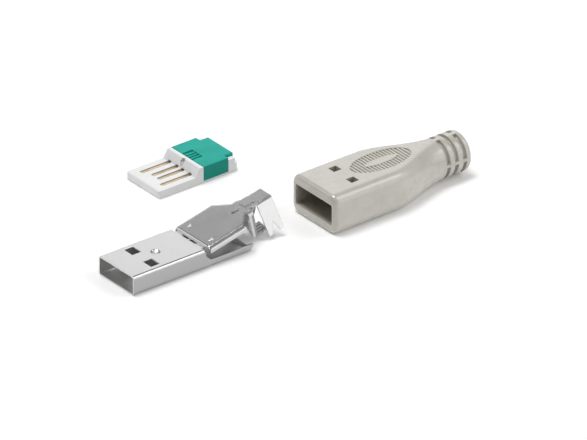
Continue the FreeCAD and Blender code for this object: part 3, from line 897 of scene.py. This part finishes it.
# %% A tree for ribs
def new_tree(name, inputs):
    """An empty Geometry Nodes tree with named number inputs and one mesh output."""
    tree = bpy.data.node_groups.new(name, "GeometryNodeTree")
    tree.interface.new_socket("Mesh", in_out="OUTPUT", socket_type="NodeSocketGeometry")
    for label, kind in inputs:
        tree.interface.new_socket(label, in_out="INPUT", socket_type=kind)
    entry = tree.nodes.new("NodeGroupInput")
    board = NodeBoard(tree)
    given = {label: Wire(board, entry.outputs[label]) for label, _ in inputs}
    return tree, board, given


def finish_tree(board, geometry, finish):
    """Turns the instances of a tree into real geometry that wears one finish."""
    real = board.add("GeometryNodeRealizeInstances", None, {0: geometry})
    dressed = board.add("GeometryNodeSetMaterial", None, {"Geometry": real, "Material": finish})
    board.add("NodeGroupOutput", None, {"Mesh": dressed})


def grown_piece(name, tree, values):
    """Runs a tree on an empty mesh and keeps the result as a plain mesh."""
    made = mesh_object(name, [], [])
    grow = made.modifiers.new("grow", "NODES")
    grow.node_group = tree
    for item in tree.interface.items_tree:
        if item.in_out == "INPUT":
            grow[item.identifier] = values[item.name]
    return plain_mesh(made)


def rib_tree(finish):
    """Cross ribs whose length follows an oval."""
    tree, board, given = new_tree("oval_ribs", [
        ("Count", "NodeSocketInt"),
        ("Start", "NodeSocketVector"),
        ("Pitch", "NodeSocketFloat"),
        ("Rib Width", "NodeSocketFloat"),
        ("Rib Height", "NodeSocketFloat"),
        ("Oval Length", "NodeSocketFloat"),
        ("Oval Width", "NodeSocketFloat"),
    ])
    step = board.add("ShaderNodeCombineXYZ", None, {"X": given["Pitch"]})
    row = board.add("GeometryNodeMeshLine", None, {
        "Count": given["Count"], "Start Location": given["Start"], "Offset": step,
    })
    section = board.add("GeometryNodeCurvePrimitiveQuadrilateral", None, {
        "Width": given["Rib Width"], "Height": given["Rib Height"] * 2,
    })
    rounded = board.add("GeometryNodeFilletCurve", {"mode": "POLY"}, {
        "Curve": section, "Count": 3, "Radius": given["Rib Width"] * 0.2,
    })
    line = board.add("GeometryNodeCurvePrimitiveLine", None, {
        "Start": (0, -0.5, 0), "End": (0, 0.5, 0),
    })
    bar = board.add("GeometryNodeCurveToMesh", None, {
        "Curve": line, "Profile Curve": rounded, "Fill Caps": True,
    })
    index = board.add("GeometryNodeInputIndex")
    middle = (given["Count"] - 1) / 2
    along = (index - middle) * given["Pitch"] / (given["Oval Length"] / 2)
    chord = (1 - along * along) ** 0.5 * given["Oval Width"]
    stretch = board.add("ShaderNodeCombineXYZ", None, {"X": 1.0, "Y": chord, "Z": 1.0})
    ribs = board.add("GeometryNodeInstanceOnPoints", None, {
        "Points": row, "Instance": bar, "Scale": stretch,
    })
    finish_tree(board, ribs, finish)
    return tree


rib_count = 18
rib_width = 0.44 * mm
rib_height = 0.28 * mm
rib_overlap = 0.1 * mm
rib_pitch = oval_length / (rib_count + 1)
rib_start = hood_start + Vector((
    oval_x - oval_length / 2 + rib_pitch, 0, hood_height / 2 - oval_depth))
grip_ribs = grown_piece("grip_ribs", rib_tree(hood_vinyl), {
    "Count": rib_count,
    "Start": rib_start,
    "Pitch": rib_pitch,
    "Rib Width": rib_width,
    "Rib Height": rib_height,
    "Oval Length": oval_length + rib_overlap,
    "Oval Width": oval_width + rib_overlap,
})
shade_soft(grip_ribs)
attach(grip_ribs, "plug")
print("grip ribs:", rib_count, "faces", len(grip_ribs.data.polygons))

# %% [markdown]
# ## Table and light
#
# The pieces lie on a white table in even studio light, with soft shadows. The table
# is one large pale plane that glows a little, so that it stays white. The light comes
# from an even grey sky and from square lamps, because a large lamp gives soft shadows
# and wide, calm reflections in the metal. The overhead lamp gives most of the light.
# The others stand where the metal looks for them: a flat face of metal mirrors what
# lies in one direction, and a lamp just there makes the face bright. That is how the
# long ear, the bent edges and the two small barbs of the cover get their highlights.

# %% Table
def table_finish():
    """A plain white that glows a little."""
    material, board, place = new_finish("pale_table")
    cloud = board.noise(place, 14.0, 2.0, 0.5)
    close_finish(board, {
        "Base Color": board.tint(cloud, (0.965, 0.965, 0.965), (0.98, 0.98, 0.98)),
        "Roughness": 0.9,
        "Emission Color": (1, 1, 1, 1),
        "Emission Strength": 0.09,
    })
    return material


table_half = 3.0
table_drop = 0.02 * mm
table = mesh_object("table", [
    (-table_half, -table_half, 0),
    (table_half, -table_half, 0),
    (table_half, table_half, 0),
    (-table_half, table_half, 0),
], [(0, 1, 2, 3)])
table.location.z = -table_drop
table.data.materials.append(table_finish())
print("table laid")


# %% Lamps and sky
def lamp(name, turn_deg, tilt_deg, distance, size, power):
    """A square lamp that shines at the aim point. Lengths are in metres, power in watts."""
    data = bpy.data.lights.new(name, "AREA")
    data.size = size
    data.energy = power
    made = bpy.data.objects.new(name, data)
    turn = math.radians(turn_deg)
    tilt = math.radians(tilt_deg)
    away = Vector((
        math.cos(tilt) * math.cos(turn),
        math.cos(tilt) * math.sin(turn),
        math.sin(tilt),
    ))
    made.location = aim + away * distance
    made.rotation_euler = (-away).to_track_quat("-Z", "Y").to_euler()
    made.visible_camera = False
    bpy.context.scene.collection.objects.link(made)


def make_sky(low_light, high_light):
    """A grey sky that changes evenly from the horizon to overhead."""
    world = bpy.data.worlds.new("studio_sky")
    world.use_nodes = True
    world.node_tree.nodes.clear()
    board = NodeBoard(world.node_tree)
    direction = board.add("ShaderNodeTexCoord", None, None, "Generated")
    height = board.add("ShaderNodeSeparateXYZ", None, {0: direction}, "Z")
    shade = board.ramp(height, [(0.0, (low_light,) * 3), (1.0, (high_light,) * 3)])
    sky = board.add("ShaderNodeBackground", None, {"Color": shade, "Strength": 1.0})
    board.add("ShaderNodeOutputWorld", None, {"Surface": sky})
    bpy.context.scene.world = world


make_sky(low_light=0.24, high_light=0.20)
lamp("overhead", 130, 78, distance=1.5, size=0.6, power=13.2)
lamp("rear_panel", 52, 26, distance=1.2, size=0.7, power=1.6)
lamp("side_panel", -44, 26, distance=1.2, size=0.80, power=2.4)
lamp("ear_panel", -65, 9, distance=1.2, size=0.36, power=0.70)
lamp("edge_panel", -32, 48, distance=1.2, size=0.45, power=1.8)
lamp("far_panel", 125, 32, distance=1.2, size=0.5, power=1.2)
lamp("front_spot", 237, 46, distance=1.2, size=0.35, power=0.5)
bpy.context.scene.view_settings.view_transform = "Standard"
print("light set")
